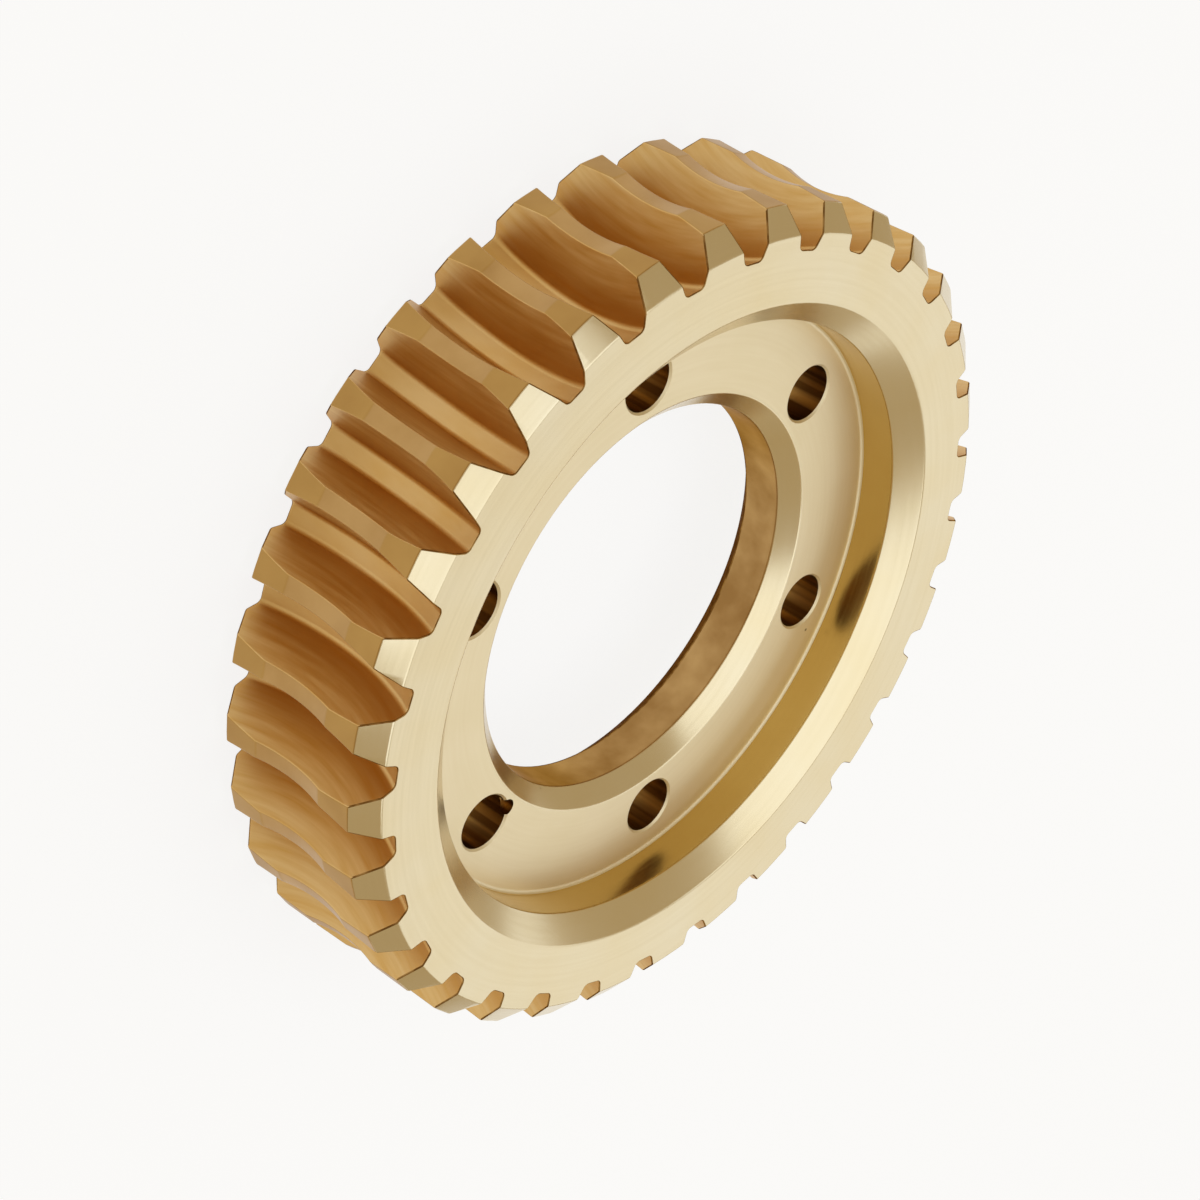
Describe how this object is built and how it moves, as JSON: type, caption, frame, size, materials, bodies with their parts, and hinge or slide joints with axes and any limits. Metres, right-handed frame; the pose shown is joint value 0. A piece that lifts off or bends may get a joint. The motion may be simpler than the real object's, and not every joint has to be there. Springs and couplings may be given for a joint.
{
  "type": "worm gear",
  "caption": "Bronze worm wheel ring with throated, right-hand slanted tooth gaps, a recessed web with a circle of bolt holes, and a bevelled bore for a hub.",
  "frame": {"origin": "on the bore axis, in the plane of the back face that the ring lies on", "axes": "+Z along the bore axis towards the front face, +X from the axis through the first bolt hole"},
  "size_m": [0.2066, 0.2066, 0.047],
  "materials": {
    "bronze": "machined cast bronze: satin turned faces, matte hobbed tooth gaps"
  },
  "bodies": {
    "root": {"worm_gear": "bronze"}
  },
  "joints": []
}
